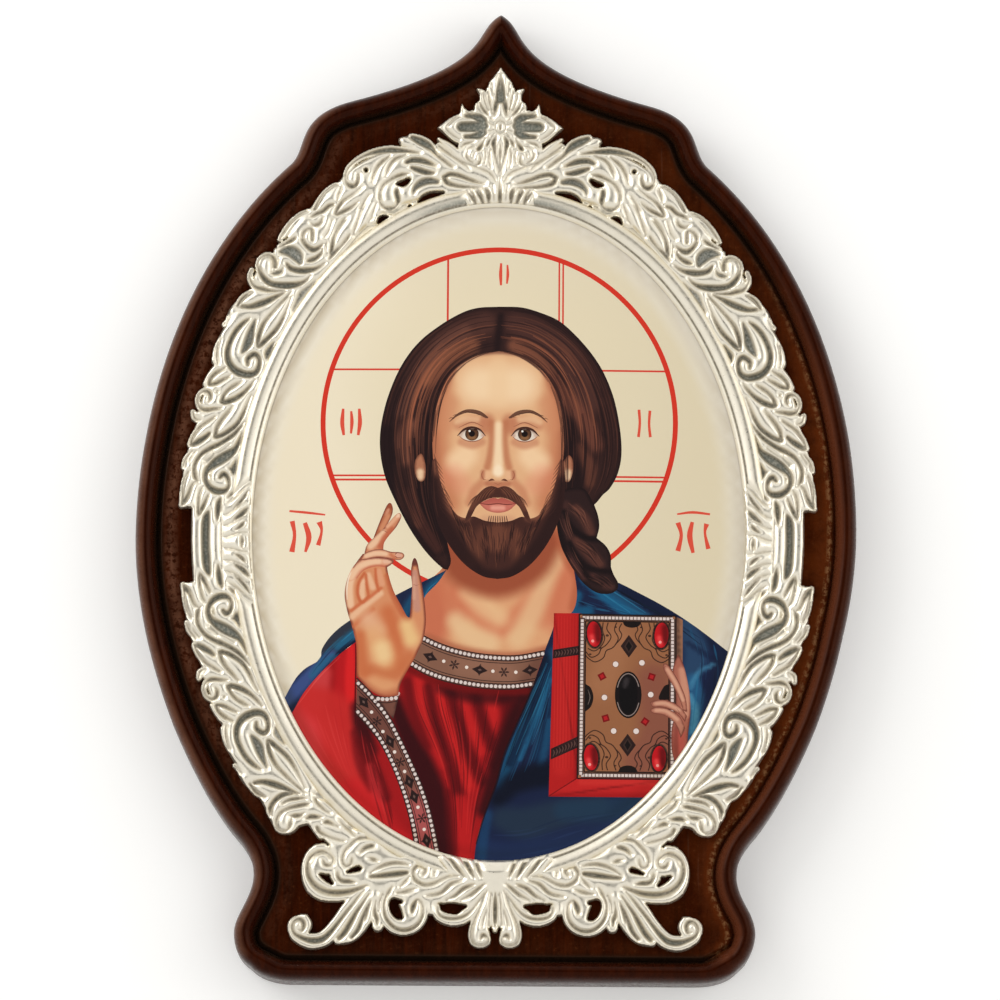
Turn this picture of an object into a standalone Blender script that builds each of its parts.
"""Hanging icon: a lacquered onion-dome board, a pressed silver oval frame and a domed picture plaque.

The icon lies on its back. +Z points out of its picture side, +Y to its top, and the origin is the
middle of its back. Dimensions below are in millimetres and are turned into metres when meshes are made.
"""
import math

import bmesh
import bpy
import numpy as np

MM = 0.001

# ---------------------------------------------------------------- driving dimensions (mm)
BOARD_HALF_WIDTH = 85.0
BOARD_TOP = 115.0
BOARD_BOTTOM = -115.0
FIELD_Z = 12.0            # flat front of the board, inside the groove
SIDE_Z = 10.8             # where the upright side turns into the bead
BEAD_WIDTH = 4.8
BEAD_HEIGHT = 4.4
BEAD_STEPS = 5
BEAD_TURN = 160.0         # degrees that the bead turns through before it meets the groove
GROOVE_Z = 10.7
GROOVE_HALF_WIDTH = 1.0
GROOVE_LIP = 0.25         # eased edge between the groove and the field
BACK_EASE = 1.2           # softened edge round the back

OVAL_HALF_WIDTH = 59.6    # the frame's sight opening
OVAL_HALF_HEIGHT = 79.0
OVAL_Y = -9.4

GAP = 0.3                 # clearance between pieces
FRAME_Z = FIELD_Z + GAP
PLATE = 0.9               # thickness of the frame at the foot of its relief
RELIEF = 2.5              # height of the carving over that foot
EDGE_ROUND = 0.9          # width of the rounding at the frame's outline
CHANNEL_DEPTH = 1.5
CHANNEL_SOFTNESS = 0.55
CHANNEL_LEAD = 0.2        # how far outside a channel its slope begins
CHANNEL_WALL = 0.6        # metal left on each side of a channel
LOWEST_RELIEF = 0.25
LIP = 1.0                 # the moulding's inner bead reaches this far over the plaque
MOULDING_OUT = 3.4
MOULDING_PLACES = (-LIP, -0.5, 0.1, 1.0, 2.8, MOULDING_OUT)
MOULDING_HEIGHTS = (1.2, 2.0, 1.3, 2.2, 2.4, 1.9)
SEAT_Z = 14.0             # underside of the lip
SEAT_BELOW = 2.0          # the seat's cutter starts this far under the frame
FRAME_BOTTOM = -111.2     # lowest, highest and outermost places that the carving can reach
FRAME_TOP = 104.0
FRAME_HALF_WIDTH = 80.0
FRAME_CELL = 0.8          # size of the cells that the relief is worked out on
FRAME_KEEP = 0.075        # share of the relief's triangles that Decimate keeps

PLAQUE_Z = FIELD_Z + GAP
PLAQUE_EDGE_TOP = 13.5
PLAQUE_RISE = 1.9
PLAQUE_MARGIN = 0.2       # how far the plaque runs past the sight opening, under the lip
PLAQUE_RINGS = 7
PLAQUE_SIDES = 64

SIDE_REPEAT = 7.0         # the lower garland starts this much further along the oval
CLASP_S = -3.5            # middle of the side clasp, along the oval from its widest point

# Right half of the board's outline, from the bottom edge to the apex, as cubic Bezier spans.
BOARD_SPANS = (
    ((0.0, BOARD_BOTTOM), (16.0, BOARD_BOTTOM), (32.0, BOARD_BOTTOM), (47.0, BOARD_BOTTOM), 2),
    ((47.0, BOARD_BOTTOM), (56.0, BOARD_BOTTOM), (60.6, -112.0), (61.0, -105.5), 8),
    ((61.0, -105.5), (61.6, -99.0), (51.2, -93.1), (60.7, -82.4), 10),
    ((60.7, -82.4), (66.9, -75.5), (85.0, -42.0), (BOARD_HALF_WIDTH, -10.0), 10),
    ((BOARD_HALF_WIDTH, -10.0), (85.0, 17.0), (76.5, 54.6), (49.3, 78.8), 10),
    ((49.3, 78.8), (45.2, 83.4), (48.4, 90.2), (35.3, 93.7), 12),
    ((35.3, 93.7), (0.6, 103.0), (6.4, 111.3), (0.0, BOARD_TOP), 12),
)

# Carving of the frame. A stroke is (place, place, half width) points that a smooth line runs through.
# Side strokes give their places as (along the oval from its widest point, outwards from it).
GARLAND_LEAVES = (
    ((4.5, 15.0, 0.9), (8.0, 14.4, 1.9), (12.5, 13.5, 2.2)),
    ((2.8, 11.3, 0.7), (6.0, 10.6, 1.7), (10.0, 10.0, 2.0)),
    ((12.0, 14.6, 1.5), (19.0, 12.4, 3.2), (27.0, 11.6, 4.2), (35.0, 10.6, 3.7)),
    ((35.0, 10.6, 3.7), (40.0, 11.6, 4.9), (46.0, 12.0, 4.9), (52.0, 12.0, 4.0), (57.0, 10.0, 4.5)),
    ((10.2, 6.2, 3.3), (25.0, 6.0, 3.6), (40.0, 6.0, 3.6), (57.0, 6.0, 3.6)),
    ((10.0, 10.2, 2.6), (20.0, 9.0, 3.6)),
)
GARLAND_CHANNELS = (
    ((11.8, 6.2, 0.5), (10.3, 4.9, 0.4), (8.6, 6.2, 0.6), (9.3, 9.3, 0.6), (12.6, 9.9, 0.7),
     (15.6, 7.1, 1.2), (18.6, 4.4, 0.6), (22.0, 3.7, 0.3)),
    ((10.4, 12.4, 0.4), (14.2, 13.0, 0.45), (18.0, 9.5, 0.5), (23.2, 4.6, 0.4)),
    ((5.4, 14.8, 0.4), (8.0, 15.0, 0.4), (11.5, 14.6, 0.3)),
    ((17.8, 14.6, 0.5), (19.0, 12.8, 0.7), (21.0, 11.0, 0.4)),
    ((27.6, 7.4, 0.3), (23.6, 9.3, 0.35), (20.6, 9.2, 0.55), (22.6, 6.2, 0.6), (29.0, 4.2, 0.3)),
    ((33.4, 7.4, 0.3), (30.4, 9.7, 0.35), (28.2, 9.6, 0.55), (30.0, 6.9, 0.6), (34.6, 4.5, 0.3)),
    ((35.0, 12.2, 0.3), (32.4, 14.2, 0.35), (30.9, 14.1, 0.45), (33.6, 10.5, 0.3)),
    ((26.4, 10.4, 0.3), (25.4, 13.8, 0.4), (27.6, 15.7, 0.3), (29.2, 14.0, 0.4), (27.6, 13.1, 0.3)),
    ((38.2, 7.4, 0.4), (40.1, 6.5, 0.6), (37.6, 4.8, 0.5), (35.3, 7.0, 0.8), (36.6, 11.6, 0.7),
     (41.0, 13.2, 0.6), (46.2, 11.9, 0.4)),
    ((41.2, 9.8, 0.6), (43.4, 9.9, 0.8), (45.4, 10.3, 0.4)),
    ((55.0, 6.8, 0.3), (47.5, 8.0, 0.4), (43.0, 6.8, 0.7), (47.5, 4.8, 0.5), (55.0, 5.8, 0.3)),
    ((51.6, 14.7, 0.3), (48.2, 15.4, 0.45), (49.2, 12.6, 0.6), (55.4, 7.7, 0.35)),
)
UPPER_LEAVES = (
    ((52.0, 8.0, 3.4), (60.0, 9.2, 5.0), (66.0, 11.0, 5.2), (72.0, 12.5, 4.7), (78.0, 13.0, 4.6),
     (83.0, 14.4, 5.6), (88.0, 12.6, 7.2), (93.0, 12.0, 5.9), (97.0, 11.0, 4.8), (102.0, 8.0, 4.4)),
    ((55.0, 15.0, 2.4), (58.0, 14.5, 3.6), (59.4, 14.5, 2.4)),
    ((63.0, 15.8, 0.8), (68.0, 16.8, 1.2), (73.0, 15.9, 1.2), (77.0, 16.8, 1.1), (79.5, 16.6, 0.9)),
    ((92.4, 19.2, 0.7), (95.4, 17.2, 2.0), (99.0, 13.2, 2.0)),
    ((52.0, 5.6, 3.2), (70.0, 6.2, 3.6), (88.0, 6.2, 3.6), (107.0, 5.0, 3.2)),
)
UPPER_CHANNELS = (
    ((54.4, 17.0, 0.3), (53.2, 14.0, 0.4), (54.6, 9.6, 0.4)),
    ((58.8, 13.4, 0.4), (60.0, 15.6, 0.35), (57.8, 17.2, 0.3), (55.6, 14.4, 0.5), (56.0, 9.8, 0.75),
     (58.6, 6.4, 0.6), (61.4, 5.4, 0.3)),
    ((60.4, 11.0, 0.4), (61.4, 7.7, 0.6), (65.0, 5.0, 0.35)),
    ((62.2, 14.0, 0.4), (63.3, 11.4, 1.0), (62.5, 9.4, 0.5)),
    ((65.4, 14.2, 0.3), (62.9, 15.4, 0.35), (67.0, 17.1, 0.3), (71.0, 16.6, 0.3)),
    ((75.4, 14.0, 0.35), (72.2, 15.0, 0.35), (76.0, 17.2, 0.3)),
    ((67.8, 11.0, 0.3), (69.0, 13.0, 0.3), (66.4, 12.4, 0.3), (66.4, 9.2, 0.6), (68.6, 8.3, 0.3)),
    ((75.8, 9.5, 0.3), (69.2, 5.6, 0.6), (74.0, 5.4, 0.3)),
    ((80.0, 13.1, 0.3), (75.4, 11.7, 0.4), (79.0, 10.8, 0.3)),
    ((82.4, 15.6, 0.3), (80.6, 15.0, 0.4), (82.0, 18.9, 0.35), (86.0, 19.4, 0.4), (90.4, 18.0, 0.6),
     (94.4, 15.2, 0.35)),
    ((94.5, 18.6, 0.6), (96.3, 16.4, 1.0), (98.0, 12.8, 0.5), (100.2, 9.4, 0.3)),
    ((96.6, 11.0, 0.35), (92.4, 13.6, 0.5), (95.6, 9.8, 0.45)),
    ((87.6, 8.2, 0.5), (86.2, 5.4, 0.4), (84.0, 6.6, 0.4), (85.6, 10.8, 0.35), (90.6, 11.4, 0.35)),
    ((105.6, 4.6, 0.3), (98.4, 7.6, 0.6), (100.0, 5.2, 0.45), (105.0, 3.8, 0.3)),
)
UPPER_HOLES = (
    ((81.2, 4.1, 0.5), (82.6, 4.3, 0.6)),
    ((88.9, 9.7, 0.7), (90.6, 9.7, 0.7)),
    ((91.6, 4.1, 0.6), (94.0, 4.5, 0.7), (96.4, 4.2, 0.5)),
)
LOWER_LEAVES = (
    ((58.0, 9.5, 4.2), (63.0, 11.0, 5.0), (67.0, 10.0, 4.6), (71.0, 7.2, 4.2), (76.0, 8.4, 4.6),
     (80.0, 9.6, 7.0),
     (85.0, 10.0, 7.0), (90.0, 9.0, 6.5), (96.0, 8.0, 6.0), (102.0, 7.0, 6.0), (108.0, 6.0, 6.0)),
    ((61.5, 13.0, 2.8), (65.2, 14.4, 3.1)),
    ((73.6, 13.0, 1.1), (73.9, 17.0, 1.4), (77.2, 20.2, 1.7), (81.0, 19.0, 1.7), (84.2, 16.0, 1.8)),
    ((76.0, 15.0, 3.0), (80.0, 16.5, 3.4), (84.0, 14.0, 3.0)),
    ((58.0, 5.6, 3.2), (84.0, 5.6, 3.2), (108.0, 5.6, 3.2)),
)
LOWER_CHANNELS = (
    ((61.6, 15.4, 0.4), (60.4, 12.4, 0.55), (61.4, 9.0, 0.35)),
    ((65.8, 13.2, 0.3), (66.4, 15.8, 0.3), (64.0, 16.2, 0.3), (63.2, 12.6, 0.35), (65.2, 7.8, 0.35)),
    ((76.0, 8.0, 0.3), (70.8, 9.6, 0.4), (71.0, 7.4, 0.4), (73.4, 6.3, 0.3)),
    ((70.0, 5.4, 0.3), (65.6, 5.2, 0.35), (67.6, 2.9, 0.3)),
    ((76.6, 14.1, 0.3), (76.6, 12.0, 0.3), (73.9, 13.6, 0.4), (75.2, 18.3, 0.45), (79.4, 19.2, 0.5),
     (82.8, 16.6, 0.45), (85.0, 13.4, 0.3)),
    ((79.8, 11.4, 0.35), (77.8, 9.0, 0.35), (78.6, 5.0, 0.35), (83.0, 2.9, 0.3)),
    ((80.5, 7.2, 0.3), (81.5, 5.2, 0.45)),
    ((90.6, 6.8, 0.4), (87.0, 9.4, 0.6), (84.7, 10.6, 0.4), (86.4, 6.9, 0.4), (90.0, 5.0, 0.3)),
)
LOWER_HOLES = (
    ((77.6, 16.7, 0.6), (79.3, 16.7, 0.6)),
    ((81.2, 12.2, 0.5), (82.2, 10.7, 0.7)),
)
# Crest and foot strokes give their places as (x, y).
CREST_LEAVES = (
    ((0.0, 101.4, 0.7), (0.0, 98.0, 3.2), (0.0, 92.0, 4.2), (0.0, 87.5, 4.8)),
    ((5.0, 96.6, 0.6), (3.4, 94.0, 1.6)),
    ((9.1, 92.4, 0.7), (8.4, 90.6, 1.4)),
    ((14.0, 87.6, 0.7), (12.2, 87.8, 1.9), (9.0, 87.9, 3.6), (4.0, 88.0, 4.4)),
    ((0.0, 88.0, 4.0), (0.0, 80.0, 7.0), (0.0, 72.0, 7.0)),
    ((8.0, 83.4, 2.1), (8.0, 78.0, 4.0), (13.0, 75.0, 3.4)),
)
CREST_CHANNELS = (
    ((0.0, 100.0, 0.3), (0.0, 97.0, 0.5), (0.0, 94.4, 0.7)),
    ((1.6, 94.0, 0.5), (1.2, 91.2, 0.35)),
    ((4.0, 96.0, 0.3), (3.4, 93.0, 0.35)),
    ((4.4, 90.4, 0.5), (8.4, 90.6, 0.45)),
    ((4.4, 88.9, 0.5), (8.2, 88.2, 1.1), (9.8, 88.0, 0.8)),
    ((4.4, 86.1, 0.6), (8.8, 85.7, 0.4)),
    ((4.0, 83.2, 0.4), (5.0, 82.1, 0.35)),
    ((1.0, 84.4, 0.4), (0.8, 81.5, 0.4), (0.4, 78.0, 0.3)),
    ((0.0, 71.3, 0.5), (0.0, 69.8, 0.5)),
)
FOOT_LEAVES = (
    ((46.4, -101.6, 0.8), (46.8, -104.4, 1.3), (43.0, -107.0, 2.1), (38.4, -105.0, 2.2),
     (34.0, -100.0, 2.7), (30.0, -96.0, 3.4)),
    ((44.4, -102.0, 0.9), (44.2, -104.6, 1.4)),
    ((36.6, -106.8, 1.1), (32.6, -104.4, 2.2), (29.0, -98.0, 2.8)),
    ((28.0, -103.6, 1.1), (28.0, -97.0, 2.2)),
    ((26.0, -97.0, 1.8), (25.2, -102.0, 1.8), (21.4, -104.2, 1.5), (17.6, -101.6, 1.9), (19.0, -97.4, 2.0)),
    ((26.0, -94.0, 3.4), (15.0, -93.0, 4.0), (0.0, -93.0, 4.6)),
    ((14.2, -98.4, 1.1), (12.6, -101.4, 1.3), (7.6, -101.6, 1.3), (4.6, -98.4, 2.0)),
    ((3.5, -105.7, 2.6), (3.2, -101.0, 3.0), (1.4, -96.0, 3.6)),
    ((0.0, -104.0, 0.9), (0.0, -98.0, 2.4)),
)
FOOT_CHANNELS = (
    ((44.2, -103.0, 0.35), (46.2, -102.4, 0.3), (45.4, -105.8, 0.5), (41.4, -106.8, 0.8),
     (37.0, -103.0, 0.45), (31.4, -95.8, 0.3)),
    ((36.0, -105.8, 0.5), (32.8, -100.6, 0.45), (30.0, -96.4, 0.3)),
    ((33.0, -105.4, 0.45), (30.6, -100.4, 0.4), (29.2, -97.4, 0.3)),
    ((28.4, -102.8, 0.35), (28.3, -98.0, 0.3)),
    ((19.3, -99.4, 0.5), (17.4, -97.8, 0.3), (17.4, -102.0, 0.35), (22.0, -104.2, 0.4), (26.0, -99.6, 0.35),
     (24.6, -94.8, 0.3)),
    ((13.4, -99.6, 0.3), (10.6, -101.5, 0.4), (6.2, -100.3, 0.35), (2.8, -96.2, 0.3)),
    ((15.6, -96.0, 0.3), (11.4, -94.4, 0.35), (8.0, -92.6, 0.3)),
    ((11.2, -97.0, 0.3), (7.3, -94.4, 0.4), (5.0, -93.5, 0.3)),
    ((17.2, -90.8, 0.4), (18.8, -90.8, 0.3), (16.6, -93.5, 0.3), (9.6, -91.6, 0.3)),
    ((3.0, -105.7, 0.4), (2.4, -107.3, 0.3), (5.4, -106.2, 0.3), (4.6, -101.6, 0.3), (2.0, -95.6, 0.3)),
    ((0.0, -102.4, 0.4), (0.0, -99.0, 0.6), (0.0, -95.8, 0.3)),
)
FOOT_HOLES = (
    ((22.7, -98.0, 0.9), (21.9, -100.5, 0.7)),
    ((7.8, -98.9, 0.5), (11.2, -98.6, 0.6)),
)
CLASP_LEAVES = (
    ((-14.5, 9.5, 3.6), (7.5, 9.5, 3.6)),
    ((-14.0, 5.5, 3.0), (7.0, 5.5, 3.0)),
)
# One side of the clasp: (along from its middle, outwards, half width), repeated on the other side.
CLASP_CHANNELS = (
    ((0.0, 10.5, 0.3), (5.6, 10.5, 0.3)),
    ((0.0, 8.7, 0.35), (8.0, 8.7, 0.35)),
    ((5.2, 6.6, 0.3), (7.4, 6.6, 0.5), (9.4, 6.4, 0.3)),
    ((4.0, 1.8, 0.3), (5.4, 0.4, 0.4)),
    ((6.2, 2.6, 0.3), (8.2, 0.2, 0.45)),
    ((8.8, 2.4, 0.3), (12.4, -0.2, 0.35)),
)
PALMETTE_LOBES = 4        # each side of a palmette's middle lobe
PALMETTE_LIP = 1.2        # how far its tips reach into the opening
PALMETTE_ROOT = 4.6       # where its lobes start, outwards from the opening
LOBE_ROOT_HALF = 1.4      # half widths of a lobe at its root and its tip
LOBE_TIP_HALF = 1.0
CLASP_ROOT_SPREAD = 3.0   # how far the side palmettes' outermost lobes stand from the middle one
CLASP_TIP_SPREAD = 7.0
END_ROOT_SPREAD = 2.6     # the same, at the crest and the foot
END_TIP_SPREAD = 7.2
LOBE_DROOP = 1.4          # how much less the outermost lobes reach inwards


# ---------------------------------------------------------------- helpers
def make_material(name, colour, roughness, metallic=0.0, coat=0.0):
    material = bpy.data.materials.new(name)
    material.use_nodes = True
    shader = material.node_tree.nodes["Principled BSDF"]
    shader.inputs["Base Color"].default_value = (*colour, 1.0)
    shader.inputs["Roughness"].default_value = roughness
    shader.inputs["Metallic"].default_value = metallic
    shader.inputs["Coat Weight"].default_value = coat
    material.diffuse_color = (*colour, 1.0)
    return material


def mesh_object(name, vertices_mm, faces, collection, material=None):
    """Mesh object from vertices in millimetres."""
    mesh = bpy.data.meshes.new(name)
    mesh.from_pydata([tuple(c * MM for c in vertex) for vertex in vertices_mm], [], faces)
    mesh.update()
    body = bpy.data.objects.new(name, mesh)
    if material is not None:
        mesh.materials.append(material)
    collection.objects.link(body)
    return body


def outward(body, merge_mm=0.0):
    """Merge doubled vertices and turn every face outwards."""
    mesh = bmesh.new()
    mesh.from_mesh(body.data)
    if merge_mm:
        bmesh.ops.remove_doubles(mesh, verts=mesh.verts, dist=merge_mm * MM)
        bmesh.ops.dissolve_degenerate(mesh, edges=mesh.edges, dist=merge_mm * MM * 0.1)
    bmesh.ops.recalc_face_normals(mesh, faces=mesh.faces)
    mesh.to_mesh(body.data)
    mesh.free()


def smooth_shading(body, angle_degrees):
    body.data.shade_smooth()
    body.data.set_sharp_from_angle(angle=math.radians(angle_degrees))


def mirror_in_x(body):
    mirror = body.modifiers.new("Mirror", "MIRROR")
    mirror.use_axis = (True, False, False)
    mirror.merge_threshold = 0.00005


def ellipse_ring(half_width, half_height, z, count):
    """Ring of points on an ellipse about the oval's middle."""
    angles = [2.0 * math.pi * k / count for k in range(count)]
    return [(half_width * math.cos(a), OVAL_Y + half_height * math.sin(a), z) for a in angles]


# ---------------------------------------------------------------- board
def board_outline():
    """Points on the right half of the outline, bottom to apex."""
    points = []
    for start, handle_a, handle_b, end, count in BOARD_SPANS:
        t = np.linspace(0.0, 1.0, count + 1)[:-1, None]
        span = ((1 - t) ** 3 * np.array(start) + 3 * (1 - t) ** 2 * t * np.array(handle_a)
                + 3 * (1 - t) * t ** 2 * np.array(handle_b) + t ** 3 * np.array(end))
        points.append(span)
    points.append(np.array([BOARD_SPANS[-1][3]]))
    return np.vstack(points)


def inset(outline, distance):
    """The outline moved inwards, with its points gathered where the two halves or a tight bend meet."""
    before = np.vstack([outline[:1] * (-1, 1) - (1, 0), outline[:-1]])
    after = np.vstack([outline[1:], outline[-1:]])
    along = after - before
    along[0] = (1.0, 0.0)
    normal = np.stack([-along[:, 1], along[:, 0]], 1)
    normal /= np.linalg.norm(normal, axis=1, keepdims=True)
    moved = outline + normal * distance
    moved[0, 0] = 0.0
    steps = np.diff(moved, axis=0)
    wanted = np.diff(outline, axis=0)
    backwards = np.einsum("ij,ij->i", steps, wanted) <= 0.0
    for k in np.flatnonzero(backwards):
        moved[k:k + 2] = moved[k:k + 2].mean(axis=0)
    crossed = np.flatnonzero(moved[:, 0] <= 0.0)
    crossed = crossed[crossed > 0]
    last = crossed[0] if len(crossed) else len(moved) - 1
    p, q = moved[last - 1], moved[last]
    share = p[0] / (p[0] - q[0]) if p[0] != q[0] else 1.0
    moved[last:] = (0.0, p[1] + (q[1] - p[1]) * share)
    return moved


def board_profile():
    """(inset, height) pairs from the back, up the side, over the bead, through the groove to the field."""
    eased = BACK_EASE * (1.0 - math.sqrt(0.5))
    pairs = [(BACK_EASE, 0.0), (eased, eased), (0.0, BACK_EASE)]
    half = BEAD_WIDTH / 2
    for k in range(BEAD_STEPS + 1):
        angle = math.radians(BEAD_TURN) * k / BEAD_STEPS
        pairs.append((half - half * math.cos(angle), SIDE_Z + BEAD_HEIGHT * math.sin(angle)))
    pairs.append((BEAD_WIDTH + GROOVE_LIP, GROOVE_Z))
    pairs.append((BEAD_WIDTH + GROOVE_HALF_WIDTH, FIELD_Z - GROOVE_LIP))
    pairs.append((BEAD_WIDTH + GROOVE_HALF_WIDTH + 2.0 * GROOVE_LIP, FIELD_Z))
    return pairs


def make_board(collection):
    """A loft through insets of the outline: the bead follows every bend, and the apex is mitred."""
    outline = board_outline()
    count = len(outline)
    vertices = []
    for distance, z in board_profile():
        vertices += [(x, y, z) for x, y in inset(outline, distance)]
    faces = []
    rings = len(vertices) // count
    for ring in range(rings - 1):
        for k in range(count - 1):
            a = ring * count + k
            faces.append((a, a + 1, a + 1 + count, a + count))
    faces.append(tuple(range(count - 1, -1, -1)))
    faces.append(tuple(range((rings - 1) * count, rings * count)))
    wood = make_material("lacquered_wood", (0.10, 0.012, 0.004), 0.22, coat=1.0)
    board = mesh_object("wooden_board", vertices, faces, collection, wood)
    outward(board, merge_mm=0.02)
    mirror_in_x(board)
    smooth_shading(board, 35.0)
    return board


# ---------------------------------------------------------------- silver frame
def oval_scale():
    """Table of the distance along the oval's quarter against its angle."""
    angle = np.linspace(0.0, math.pi / 2, 721)
    speed = np.hypot(OVAL_HALF_WIDTH * np.sin(angle), OVAL_HALF_HEIGHT * np.cos(angle))
    length = np.concatenate([[0.0], np.cumsum((speed[1:] + speed[:-1]) / 2 * np.diff(angle))])
    return angle, length


def on_side(stroke, shift=0.0, lower=False):
    """Turn (along, outwards, half width) points into (x, y, half width)."""
    angle, length = oval_scale()
    placed = []
    for along, out, half in stroke:
        a = np.sign(along + shift) * np.interp(abs(along + shift), length, angle)
        normal = np.array([OVAL_HALF_HEIGHT * math.cos(a), OVAL_HALF_WIDTH * math.sin(a)])
        normal /= np.linalg.norm(normal)
        x = OVAL_HALF_WIDTH * math.cos(a) + out * normal[0]
        y = OVAL_HALF_HEIGHT * math.sin(a) + out * normal[1]
        placed.append((x, OVAL_Y + (-y if lower else y), half))
    return placed


def clasp_strokes():
    """Channels of the side clasp, the same on both sides of its middle."""
    strokes = []
    for stroke in CLASP_CHANNELS:
        for side in (1, -1):
            strokes.append([(CLASP_S + side * along, out, half) for along, out, half in stroke])
    return strokes


def palmette_lobes():
    """Lobes that fan over the opening's edge at the clasp, the crest and the foot."""
    tip = LOBE_TIP_HALF - PALMETTE_LIP
    lobes = []
    for k in range(-PALMETTE_LOBES, PALMETTE_LOBES + 1):
        spread = k / PALMETTE_LOBES
        lobes.append(on_side([
            (CLASP_S + CLASP_ROOT_SPREAD * spread, PALMETTE_ROOT, LOBE_ROOT_HALF),
            (CLASP_S + CLASP_TIP_SPREAD * spread, tip + LOBE_DROOP * abs(spread) ** 3, LOBE_TIP_HALF),
        ]))
    for side in (1, -1):
        edge = OVAL_Y + side * OVAL_HALF_HEIGHT
        for k in range(PALMETTE_LOBES + 1):
            spread = k / PALMETTE_LOBES
            lobes.append([
                (END_ROOT_SPREAD * spread, edge + side * PALMETTE_ROOT, LOBE_ROOT_HALF),
                (END_TIP_SPREAD * spread, edge + side * tip, LOBE_TIP_HALF),
            ])
    return lobes


def smooth_line(stroke, steps=4):
    """Catmull-Rom points through a stroke."""
    points = np.array(stroke, float)
    if len(points) < 3:
        return points
    padded = np.vstack([2 * points[0] - points[1], points, 2 * points[-1] - points[-2]])
    t = (np.arange(steps) / steps)[:, None]
    line = []
    for p0, p1, p2, p3 in zip(padded, padded[1:], padded[2:], padded[3:]):
        line.append(0.5 * (2 * p1 + (p2 - p0) * t + (2 * p0 - 5 * p1 + 4 * p2 - p3) * t ** 2
                           + (3 * p1 - p0 - 3 * p2 + p3) * t ** 3))
    return np.vstack(line + [points[-1:]])


def distance_to(strokes, x, y):
    """Distance from every grid point to the nearest stroke's edge, negative inside it."""
    field = np.full(x.shape, 9.0)
    for stroke in strokes:
        line = smooth_line(stroke)
        reach = line[:, 2].max() + 3.0
        low = line.min(axis=0) - reach
        high = line.max(axis=0) + reach
        columns = np.flatnonzero((x[0] > low[0]) & (x[0] < high[0]))
        rows = np.flatnonzero((y[:, 0] > low[1]) & (y[:, 0] < high[1]))
        if not len(columns) or not len(rows):
            continue
        window = np.ix_(rows, columns)
        px, py = x[window], y[window]
        nearest = field[window]
        for (ax, ay, aw), (bx, by, bw) in zip(line[:-1], line[1:]):
            dx, dy = bx - ax, by - ay
            t = np.clip(((px - ax) * dx + (py - ay) * dy) / max(dx * dx + dy * dy, 1e-9), 0.0, 1.0)
            nearest = np.minimum(nearest, np.hypot(px - ax - t * dx, py - ay - t * dy) - aw - t * (bw - aw))
        field[window] = nearest
    return field


def out_of_oval(x, y):
    """Distance outwards from the sight opening, by Newton steps to the nearest point of the oval."""
    a, b = OVAL_HALF_WIDTH, OVAL_HALF_HEIGHT
    px, py = np.abs(x), np.abs(y - OVAL_Y)
    angle = np.arctan2(py * a, px * b)
    for _ in range(6):
        c, s = np.cos(angle), np.sin(angle)
        slope = (a * a - b * b) * c * s - px * a * s + py * b * c
        change = (a * a - b * b) * (c * c - s * s) - px * a * c - py * b * s
        angle = np.clip(angle - slope / np.where(np.abs(change) < 1e-9, 1e-9, change), 0.0, math.pi / 2)
    distance = np.hypot(px - a * np.cos(angle), py - b * np.sin(angle))
    inside = (px / a) ** 2 + (py / b) ** 2 < 1.0
    return np.where(inside, -distance, distance)


def relief(x, y):
    """The frame's outline (negative inside it) and the height of its carving."""
    def both(strokes):
        return [on_side(s) for s in strokes] + [on_side(s, SIDE_REPEAT, True) for s in strokes]

    lobes = distance_to(palmette_lobes(), x, y)
    leaves = both(GARLAND_LEAVES) + [on_side(s) for s in UPPER_LEAVES + CLASP_LEAVES]
    leaves += [on_side(s, lower=True) for s in LOWER_LEAVES] + list(CREST_LEAVES + FOOT_LEAVES)
    channels = both(GARLAND_CHANNELS) + [on_side(s) for s in list(UPPER_CHANNELS) + clasp_strokes()]
    channels += [on_side(s, lower=True) for s in LOWER_CHANNELS] + list(CREST_CHANNELS + FOOT_CHANNELS)
    holes = [on_side(s) for s in UPPER_HOLES]
    holes += [on_side(s, lower=True) for s in LOWER_HOLES] + list(FOOT_HOLES)
    out = out_of_oval(x, y)
    channel = distance_to(channels, x, y)
    moulding = np.maximum(-LIP - out, out - MOULDING_OUT)
    outline = np.minimum.reduce([distance_to(leaves, x, y), channel - CHANNEL_WALL, moulding, lobes])
    outline = np.maximum.reduce([outline, -distance_to(holes, x, y), -PALMETTE_LIP - out])

    rounding = np.sqrt(1.0 - (1.0 - np.clip(-outline / EDGE_ROUND, 0.0, 1.0)) ** 2)
    depth = np.clip(CHANNEL_LEAD - channel, 0.0, None) / CHANNEL_SOFTNESS
    carved = RELIEF * rounding - CHANNEL_DEPTH * (1.0 - np.exp(-depth))
    bead = np.interp(out, MOULDING_PLACES, MOULDING_HEIGHTS)
    on_moulding = (out < MOULDING_OUT - GAP) & (lobes > CHANNEL_LEAD) & (channel > CHANNEL_WALL)
    height = np.where(on_moulding, bead, np.maximum(carved, LOWEST_RELIEF))
    return outline, FRAME_Z + PLATE + height


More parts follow.
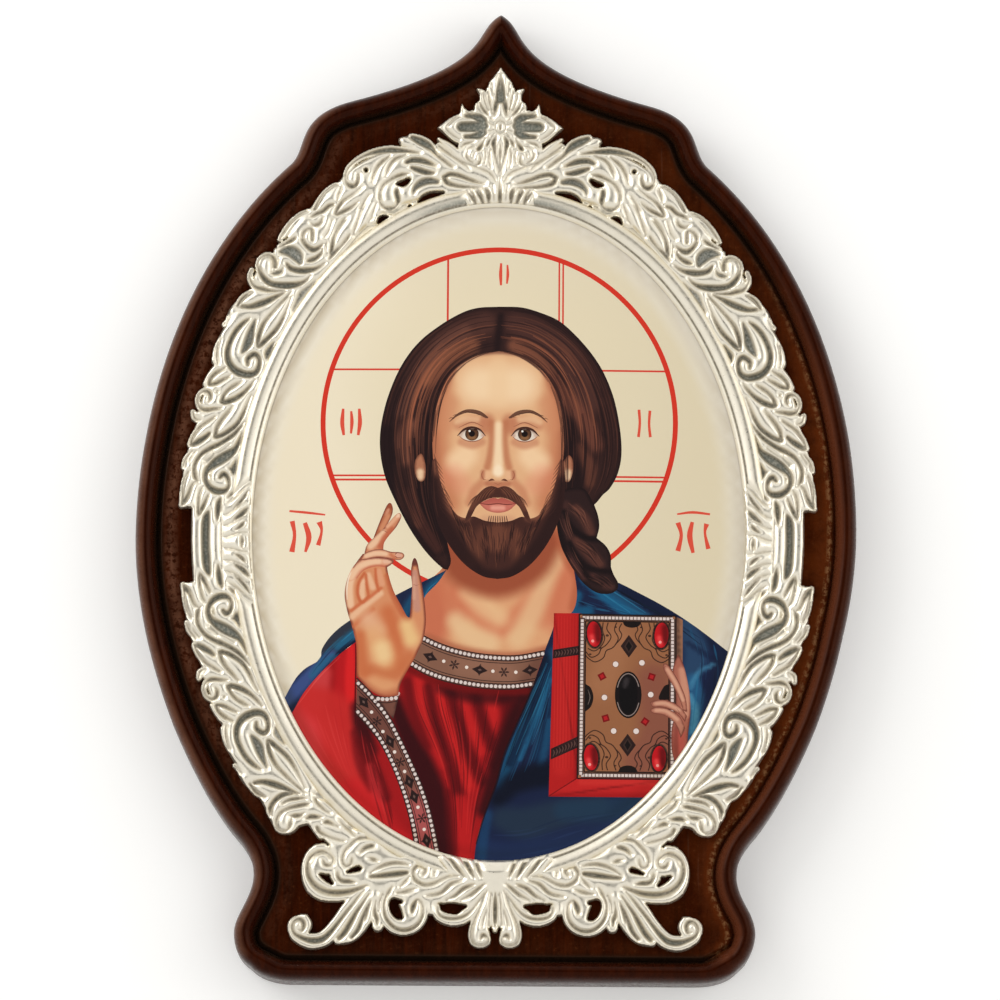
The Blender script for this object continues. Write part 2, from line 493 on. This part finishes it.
def contour_cells(outline):
    """Marching squares: polygons of the part of every cell inside the outline.

    A corner is ("c", row, column), and a crossing is ("h" or "v", row, column, share along the edge).
    """
    inside = outline < 0.0
    polygons = []
    rows, columns = outline.shape

    def crossing(kind, a, b, row, column):
        share = outline[a] / (outline[a] - outline[b])
        return kind, row, column, float(np.clip(share, 0.12, 0.88))

    for j in range(rows - 1):
        for i in range(columns - 1):
            corners = ((j, i), (j, i + 1), (j + 1, i + 1), (j + 1, i))
            held = [inside[c] for c in corners]
            if not any(held):
                continue
            edges = (crossing("h", (j, i), (j, i + 1), j, i) if held[0] != held[1] else None,
                     crossing("v", (j, i + 1), (j + 1, i + 1), j, i + 1) if held[1] != held[2] else None,
                     crossing("h", (j + 1, i), (j + 1, i + 1), j + 1, i) if held[2] != held[3] else None,
                     crossing("v", (j, i), (j + 1, i), j, i) if held[3] != held[0] else None)
            if held in ([True, False, True, False], [False, True, False, True]):
                for k in range(4):
                    if held[k]:
                        polygons.append([edges[k - 1], ("c", *corners[k]), edges[k]])
                continue
            polygon = []
            for k in range(4):
                if held[k]:
                    polygon.append(("c", *corners[k]))
                if edges[k] is not None:
                    polygon.append(edges[k])
            polygons.append(polygon)
    return polygons


def frame_half():
    """Closed half of the frame, open at x = 0: carved top, upright sides and flat back."""
    xs = np.arange(0.0, FRAME_HALF_WIDTH, FRAME_CELL)
    ys = np.arange(FRAME_BOTTOM, FRAME_TOP, FRAME_CELL)
    x, y = np.meshgrid(xs, ys)
    outline, top = relief(x, y)
    numbers = {}
    places = []

    def number(key):
        short = key[:3]
        if short not in numbers:
            kind, row, column = short
            share = key[3] if len(key) > 3 else 0.0
            dx = FRAME_CELL * share if kind == "h" else 0.0
            dy = FRAME_CELL * share if kind == "v" else 0.0
            z = FRAME_Z + PLATE if kind != "c" else top[row, column]
            numbers[short] = len(places)
            places.append((xs[column] + dx, ys[row] + dy, z))
        return numbers[short]

    tops = [[number(key) for key in polygon] for polygon in contour_cells(outline)]
    count = len(places)
    vertices = places + [(px, py, FRAME_Z) for px, py, _ in places]
    faces = list(tops) + [[k + count for k in reversed(face)] for face in tops]
    directed = {(a, b) for face in tops for a, b in zip(face, face[1:] + face[:1])}
    for a, b in directed:
        on_plane = places[a][0] == 0.0 and places[b][0] == 0.0
        if (b, a) not in directed and not on_plane:
            faces.append((b, a, a + count, b + count))
    return vertices, faces


def make_frame(collection, cutters):
    silver = make_material("pressed_silver", (0.86, 0.84, 0.78), 0.2, metallic=1.0)
    vertices, faces = frame_half()
    frame = mesh_object("silver_frame", vertices, faces, collection, silver)
    outward(frame)
    mirror_in_x(frame)
    decimate = frame.modifiers.new("Decimate", "DECIMATE")
    decimate.ratio = FRAME_KEEP
    seat = make_seat_cutter(cutters)
    boolean = frame.modifiers.new("Seat", "BOOLEAN")
    boolean.operation = "DIFFERENCE"
    boolean.object = seat
    smooth_shading(frame, 40.0)
    return frame


def make_seat_cutter(cutters):
    """Oval block that cuts the rebate for the plaque under the frame's lip."""
    grow = PLAQUE_MARGIN + GAP
    half_width = OVAL_HALF_WIDTH + grow
    half_height = OVAL_HALF_HEIGHT + grow
    count = PLAQUE_SIDES
    vertices = ellipse_ring(half_width, half_height, FRAME_Z - SEAT_BELOW, count)
    vertices += ellipse_ring(half_width, half_height, SEAT_Z, count)
    faces = [(k, (k + 1) % count, (k + 1) % count + count, k + count) for k in range(count)]
    faces += [tuple(range(count - 1, -1, -1)), tuple(range(count, 2 * count))]
    seat = mesh_object("seat_cutter", vertices, faces, cutters)
    outward(seat)
    seat.hide_render = True
    seat.display_type = "WIRE"
    return seat


# ---------------------------------------------------------------- plaque
def make_plaque(collection):
    """Domed oval: rings that climb from the edge to the middle, closed by a flat back."""
    half_width = OVAL_HALF_WIDTH + PLAQUE_MARGIN
    half_height = OVAL_HALF_HEIGHT + PLAQUE_MARGIN
    vertices = ellipse_ring(half_width, half_height, PLAQUE_Z, PLAQUE_SIDES)
    for k in range(PLAQUE_RINGS):
        share = 1.0 - k / PLAQUE_RINGS
        z = PLAQUE_EDGE_TOP + PLAQUE_RISE * (1.0 - share ** 2)
        vertices += ellipse_ring(half_width * share, half_height * share, z, PLAQUE_SIDES)
    faces = [tuple(range(PLAQUE_SIDES - 1, -1, -1))]
    for ring in range(PLAQUE_RINGS):
        for k in range(PLAQUE_SIDES):
            a = ring * PLAQUE_SIDES + k
            b = ring * PLAQUE_SIDES + (k + 1) % PLAQUE_SIDES
            faces.append((a, b, b + PLAQUE_SIDES, a + PLAQUE_SIDES))
    middle = len(vertices)
    vertices.append((0.0, OVAL_Y, PLAQUE_EDGE_TOP + PLAQUE_RISE))
    last = PLAQUE_RINGS * PLAQUE_SIDES
    faces += [(last + k, last + (k + 1) % PLAQUE_SIDES, middle) for k in range(PLAQUE_SIDES)]
    enamel = make_material("picture_enamel", (0.78, 0.70, 0.56), 0.12, coat=1.0)
    plaque = mesh_object("oval_plaque", vertices, faces, collection, enamel)
    outward(plaque)
    smooth_shading(plaque, 40.0)
    return plaque


def main():
    for old in list(bpy.data.objects):
        bpy.data.objects.remove(old, do_unlink=True)
    parts = bpy.data.collections.new("metal_icon")
    cutters = bpy.data.collections.new("metal_icon_cutters")
    bpy.context.scene.collection.children.link(parts)
    bpy.context.scene.collection.children.link(cutters)
    make_board(parts)
    make_frame(parts, cutters)
    make_plaque(parts)


main()
